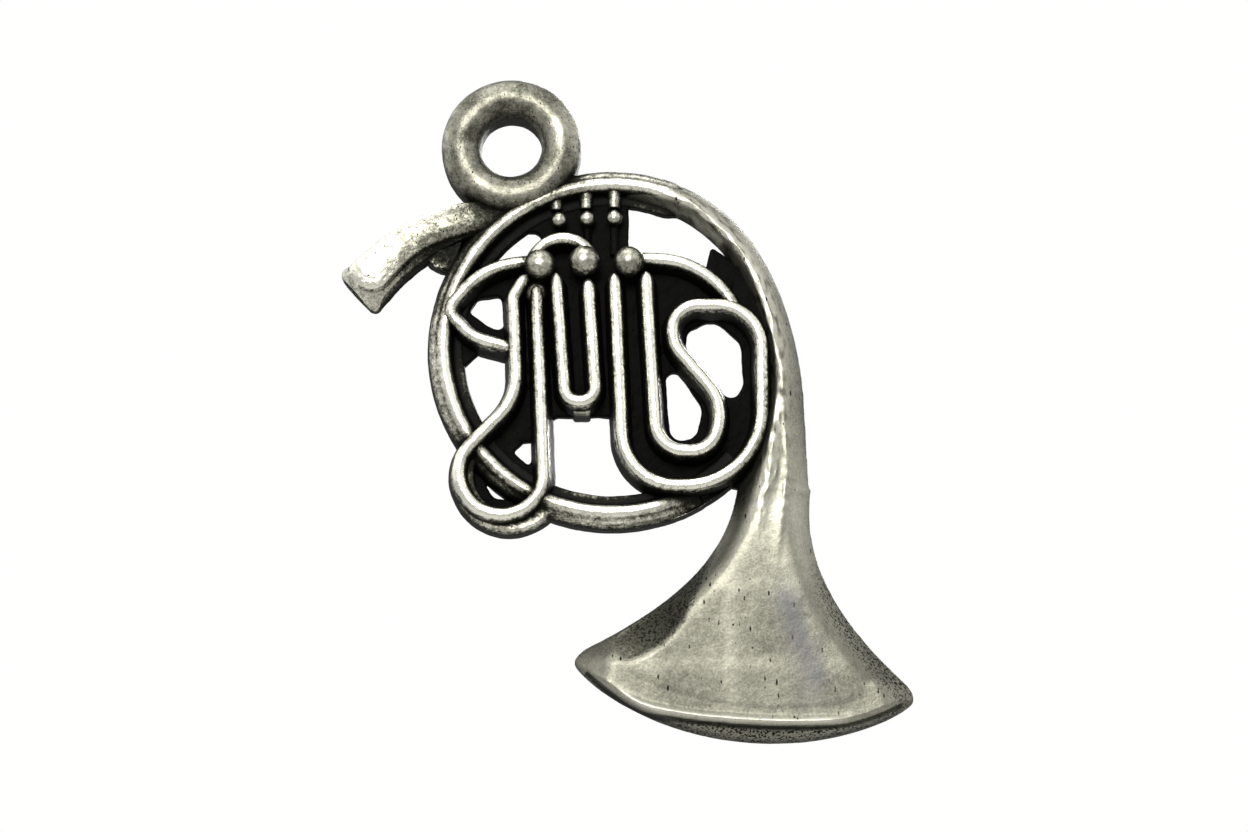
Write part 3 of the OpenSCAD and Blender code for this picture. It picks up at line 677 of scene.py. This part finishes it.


# The bell's stain mixes real patina and flecks with painted highlights and painted shade
def bellWearAndPaintedLight(places, normals):
    # the left band is painted dark, as patina in its recess and as painted shade on a wall that faces down and to
    # the left
    gap, share, side = fromLine(places, bell["band"])
    bandPatinaAndShade = ((side < 0) * eased(gap, *wearAndPaintedLight["bandEdge"]) * eased(share, *wearAndPaintedLight["bandIn"])
                 * (1 - eased(share, *wearAndPaintedLight["bandOut"])))
    lipGap, lipShare, side = fromLine(places, bell["lip"])
    below = (side < 0) * (lipShare > wearAndPaintedLight["lipEnds"][0]) * (lipShare < wearAndPaintedLight["lipEnds"][1])
    rugged = (wearAndPaintedLight["flecksSteep"] * (1 - np.abs(normals[:, 1])) + wearAndPaintedLight["flecksBand"] * bandPatinaAndShade
              + wearAndPaintedLight["flecksLip"] * below * eased(lipGap, *wearAndPaintedLight["lipWall"]))
    gap, share, side = fromLine(places, bell["rightEdge"])
    nearRight = 1 - eased(gap, *wearAndPaintedLight["rightReach"])
    rugged = rugged + wearAndPaintedLight["flecksRight"] * nearRight * eased(share, *wearAndPaintedLight["rightIn"])
    # a strip just below the lip is painted darker
    underLip = eased(lipGap, *wearAndPaintedLight["belowLipDarkFrom"]) * (1 - eased(lipGap, *wearAndPaintedLight["belowLipDarkTo"]))
    # painted highlight: a bright line is painted along the lip
    lipHighlight = (np.exp(-(lipGap / wearAndPaintedLight["lipHighlightReach"]) ** 2) * eased(lipShare, *bell["lipStart"])
                * (1 - eased(lipShare, *bell["lipEnd"])))
    depth = -places[:, 2]
    # painted highlight: the tail and the throat of the bell are painted lighter
    light = wearAndPaintedLight["tailHighlight"] + wearAndPaintedLight["throatHighlight"] * eased(depth, *wearAndPaintedLight["throatFrom"])
    light = light * (1 - eased(depth, *wearAndPaintedLight["throatTo"]))
    stainAndPaintedLight = bandPatinaAndShade + wearAndPaintedLight["belowLipDark"] * below * underLip - lipHighlight - light
    gap, share, side = fromLine(places, bell["streak"])
    streak = (np.exp(-(gap / wearAndPaintedLight["streakReach"]) ** 2) * eased(share, *wearAndPaintedLight["streakIn"])
              * (1 - wearAndPaintedLight["streakFade"] * eased(share, *wearAndPaintedLight["streakOut"])))
    # painted highlight: a lighter line is painted along the bell's main ridge
    gap, share, side = fromLine(places, bell["ridges"][0]["line"])
    fade = 1 - eased(share, *wearAndPaintedLight["ridgeOut"])
    ridgeHighlight = np.exp(-(gap / wearAndPaintedLight["ridgeReach"]) ** 2) * fade
    inner = side == side[np.argmin(places[:, 0])]
    streaks = np.clip(combed(gap * side, share), 0, 1) * np.exp(-(gap / wearAndPaintedLight["combReach"]) ** 2) * fade
    innerEdge = inner * eased(gap, *wearAndPaintedLight["innerFrom"]) * fade * eased(share, *wearAndPaintedLight["innerIn"])
    stainAndPaintedLight = stainAndPaintedLight + wearAndPaintedLight["combDark"] * streaks + wearAndPaintedLight["innerDark"] * innerEdge - wearAndPaintedLight["ridgeHighlightWeight"] * ridgeHighlight
    return stainAndPaintedLight, streak, rugged


for piece, places in zip(pieces, allPlaces):
    mesh = piece["obj"].data
    ix = ((places[:, 0] - low[0]) / relief["cell"]).astype(int)
    iz = ((places[:, 2] - low[2]) / relief["cell"]).astype(int)
    out = np.abs(places[:, 1])
    writeField(mesh, "standing", out - farMean[ix, iz])
    writeField(mesh, "groove", out - nearMean[ix, iz])
    normals = vertexArrays(mesh)[1]
    rugged = 1 - np.abs(normals[:, 1])
    writeField(mesh, "steep", rugged)
    if piece["look"] == "satin_bell":
        stainAndPaintedLight, streak, rugged = bellWearAndPaintedLight(places, normals)
        writeField(mesh, "stainAndPaintedLight", stainAndPaintedLight)
        writeField(mesh, "streak", streak)
    if piece["look"] == "pipe":
        # painted highlight: the pipe's flared end is painted lighter
        share = fromLine(places, pipe["line"])[1]
        writeField(mesh, "stainAndPaintedLight", -eased(share, *wearAndPaintedLight["pipeEnd"]))
    writeField(mesh, "rugged", rugged)


def addNode(tree, kind, place, **values):
    node = tree.nodes.new(kind)
    node.location = place
    for key, value in values.items():
        if key in node.inputs:
            node.inputs[key].default_value = value
        else:
            setattr(node, key, value)
    return node


def readField(tree, name, height):
    return addNode(tree, "ShaderNodeAttribute", (-1700, height), attribute_name=name).outputs["Fac"]


# A step between two values, rising from 0 to 1 or falling from 1 to 0
def stepOf(tree, socket, limits, place, falling=False):
    step = addNode(tree, "ShaderNodeMapRange", place)
    step.inputs["From Min"].default_value, step.inputs["From Max"].default_value = limits
    if falling:
        step.inputs["To Min"].default_value, step.inputs["To Max"].default_value = 1.0, 0.0
    tree.links.new(socket, step.inputs["Value"])
    return step.outputs[0]


def product(tree, a, b, place):
    step = addNode(tree, "ShaderNodeMath", place, operation="MULTIPLY")
    tree.links.new(a, step.inputs[0])
    tree.links.new(b, step.inputs[1])
    return step.outputs[0]


def sumUp(tree, terms, start, place):
    total = None
    for k, (socket, weight) in enumerate(terms):
        step = addNode(tree, "ShaderNodeMath", (place[0] + 160 * k, place[1]), operation="MULTIPLY_ADD")
        tree.links.new(socket, step.inputs[0])
        step.inputs[1].default_value = weight
        if total is None:
            step.inputs[2].default_value = start
        else:
            tree.links.new(total, step.inputs[2])
        total = step.outputs[0]
    return total


def rampOf(tree, socket, stops, place):
    ramp = addNode(tree, "ShaderNodeValToRGB", place)
    band = ramp.color_ramp
    while len(band.elements) < len(stops):
        band.elements.new(0.5)
    for element, (at, colour) in zip(band.elements, stops):
        element.position = at
        element.color = (*colour, 1)
    tree.links.new(socket, ramp.inputs[0])
    return ramp.outputs[0]


# Each noise has its kind, its height in the node tree, its detail and its roughness
grime = {"noises": (("blotch", 0, 5.0, 0.6), ("speck", -250, 3.0, 0.65), ("cloud", -500, 2.0, 0.5),
                    ("chip", -1350, 2.0, 0.5)),
         "pitHeart": (0.06, 0.2), "pitsAllowed": (0.5, 0.6), "crackWidth": (0.02, 0.07),
         "chipEdge": (0.52, 0.6), "streakSoak": 0.75, "bare": (0.22, 0.42), "dent": -1.2,
         "bumpDistance": 0.00002}


def agedSilver(name, look):
    metal = bpy.data.materials.new(name)
    metal.use_nodes = True
    tree = metal.node_tree
    shader = tree.nodes["Principled BSDF"]
    coords = addNode(tree, "ShaderNodeTexCoord", (-1700, 0)).outputs["Object"]
    standing = readField(tree, "standing", 400)
    groove = readField(tree, "groove", 200)
    steep = readField(tree, "steep", 600)
    stainAndPaintedLight = readField(tree, "stainAndPaintedLight", 800)
    streak = readField(tree, "streak", 1000)
    rugged = readField(tree, "rugged", 1200)
    noises = {}
    for kind, height, detail, roughness in grime["noises"]:
        texture = addNode(tree, "ShaderNodeTexNoise", (-1500, height), Scale=look[kind + "Scale"], Detail=detail,
                          Roughness=roughness)
        tree.links.new(coords, texture.inputs["Vector"])
        noises[kind] = texture.outputs["Fac"]
    net = addNode(tree, "ShaderNodeTexVoronoi", (-1500, -1100), feature="DISTANCE_TO_EDGE",
                  Scale=look["netScale"])
    tree.links.new(coords, net.inputs["Vector"])
    # pits: the hearts of small cells, kept only where the blotches allow
    drawn = addNode(tree, "ShaderNodeMapping", (-1650, -750), Scale=look["pitShape"])
    tree.links.new(coords, drawn.inputs["Vector"])
    cells = addNode(tree, "ShaderNodeTexVoronoi", (-1500, -750), Scale=look["pitScale"])
    tree.links.new(drawn.outputs[0], cells.inputs["Vector"])
    pit = stepOf(tree, cells.outputs["Distance"], grime["pitHeart"], (-1250, -750), falling=True)
    allowed = stepOf(tree, noises["blotch"], grime["pitsAllowed"], (-1250, -950))
    pits = product(tree, pit, allowed, (-1050, -800))
    crack = stepOf(tree, net.outputs["Distance"], grime["crackWidth"], (-1250, -1100), falling=True)
    chipped = stepOf(tree, noises["chip"], grime["chipEdge"], (-1250, -1350))
    flecks = product(tree, chipped, rugged, (-1050, -1350))
    # everything that darkens or polishes, painted highlights and painted shade among it, adds up to one level,
    # from black recess to bare crest
    start = look["level"] - 0.5 * (look["blotch"] + look["speck"] + look["cloud"])
    level = sumUp(tree, [
        (standing, look["standing"]), (groove, look["groove"]), (noises["blotch"], look["blotch"]),
        (noises["speck"], look["speck"]), (noises["cloud"], look["cloud"]), (pits, -look["pit"]),
        (crack, -look["crack"]), (steep, -look["steep"]), (stainAndPaintedLight, -look["stainAndPaintedLight"]),
        (flecks, -look["fleck"])],
        start, (-1200, 300))
    colour = rampOf(tree, level, look["colours"], (-300, 300))
    rough = rampOf(tree, level, [(at, (r, r, r)) for at, r in look["rough"]], (-300, 0))
    metallic = rampOf(tree, level, [(at, (m, m, m)) for at, m in zip(grime["bare"], (0, 1))], (-300, -200))
    soak = addNode(tree, "ShaderNodeMath", (-100, 500), operation="MULTIPLY")
    soak.inputs[1].default_value = grime["streakSoak"]
    tree.links.new(streak, soak.inputs[0])
    tinted = addNode(tree, "ShaderNodeMix", (0, 400), data_type="RGBA")
    tree.links.new(soak.outputs[0], tinted.inputs["Factor"])
    tree.links.new(colour, tinted.inputs[6])  # socket 6 is colour A, 7 is colour B
    tinted.inputs[7].default_value = (*streakTone, 1)
    shader.inputs["Specular IOR Level"].default_value = look["sheen"]
    tree.links.new(tinted.outputs[2], shader.inputs["Base Color"])
    tree.links.new(rough, shader.inputs["Roughness"])
    tree.links.new(metallic, shader.inputs["Metallic"])
    bump = addNode(tree, "ShaderNodeBump", (-300, -450), Strength=look["bump"], Distance=grime["bumpDistance"])
    dents = addNode(tree, "ShaderNodeMath", (-700, -500), operation="MULTIPLY_ADD")
    dents.inputs[1].default_value = grime["dent"]
    tree.links.new(pits, dents.inputs[0])
    tree.links.new(noises["speck"], dents.inputs[2])
    tree.links.new(dents.outputs[0], bump.inputs["Height"])
    tree.links.new(bump.outputs["Normal"], shader.inputs["Normal"])
    return metal


silverTones = [(0.10, (0.002, 0.002, 0.0015)), (0.30, (0.008, 0.008, 0.005)), (0.44, (0.09, 0.088, 0.07)),
               (0.58, (0.38, 0.37, 0.31)), (0.80, (0.93, 0.92, 0.82))]
roughTones = [(0.2, 0.55), (0.5, 0.42), (0.85, 0.27)]
streakTone = (0.13, 0.13, 0.142)
# The level is how bright the bare metal is. The rest lighten or darken it by relief, noise, wear and painted
# highlights and shade
common = {"level": 0.5, "standing": 0.5, "groove": 0.9, "steep": 0.2, "stainAndPaintedLight": 0.0, "blotch": 0.55,
          "speck": 0.5, "cloud": 0.25, "blotchScale": 4200.0, "speckScale": 15000.0, "cloudScale": 900.0,
          "pitScale": 5200.0,
          "pit": 0.45, "pitShape": (1.5, 1.0, 0.8), "crack": 0.0, "netScale": 2600.0, "sheen": 0.12,
          "fleck": 0.3, "chipScale": 6500.0, "bump": 0.4, "colours": silverTones, "rough": roughTones}
looks = {
    "ring": {"level": 0.455, "standing": 0.14, "groove": 0.9, "steep": 0.08, "fleck": 0.15, "blotch": 0.18,
             "cloud": 0.4, "speck": 0.24},
    "hoop": {"level": 0.43, "standing": 0.75, "groove": 1.6, "steep": 0.24, "speck": 0.6},
    "pipe": {"level": 0.455, "standing": 0.4, "groove": 1.1, "steep": 0.24, "crack": 0.05, "speck": 0.4,
             "blotch": 0.3, "stainAndPaintedLight": 0.16},
    "worn_silver": {"level": 0.46, "standing": 0.6, "groove": 1.2, "steep": 0.2},
    "bright_tubes": {"level": 0.43, "standing": 0.62, "groove": 1.3, "steep": 0.34, "speck": 0.8, "blotch": 0.7},
    "polished_balls": {"level": 0.55, "standing": 0.15, "groove": 0.3, "steep": 0.34, "blotch": 0.3,
                       "speck": 0.35, "pit": 0.3, "bump": 0.25, "rough": [(0.2, 0.5), (0.5, 0.32), (0.85, 0.24)]},
    "satin_bell": {"level": 0.49, "standing": 0.08, "groove": 0.3, "steep": 0.0, "stainAndPaintedLight": 0.12, "blotch": 0.07,
                   "speck": 0.14, "cloud": 0.08, "fleck": 0.34, "chipScale": 12500.0, "blotchScale": 3000.0,
                   "speckScale": 13000.0, "cloudScale": 500.0, "pitScale": 2900.0, "pitShape": (1.9, 1.0, 0.6),
                   "pit": 0.42, "bump": 0.3, "rough": [(0.2, 0.6), (0.5, 0.46), (0.85, 0.3)]},
    "gusset": {"level": 0.36, "standing": 0.3, "groove": 1.4, "steep": 0.1, "blotch": 0.6, "speck": 0.6},
    "dark_recess": {"level": 0.16, "standing": 0.2, "groove": 0.3, "steep": 0.0, "blotch": 0.25, "speck": 0.2,
                    "pit": 0.2, "bump": 0.8, "sheen": 0.04, "rough": [(0.2, 0.5), (0.5, 0.45), (0.85, 0.35)]},
}
print("stage: metals")
metals = {name: agedSilver(name, {**common, **look}) for name, look in looks.items()}

for piece in pieces:
    obj = piece["obj"]
    obj.data.transform(Matrix.Scale(mm, 4))
    obj.data.update()
    obj.data.materials.clear()
    obj.data.materials.append(metals[piece["look"]])
    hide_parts(*piece["stands"])
    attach(obj, "root")

triangles = sum(len(p["obj"].data.loops) - 2 * len(p["obj"].data.polygons) for p in pieces)
print("triangles in all", triangles)
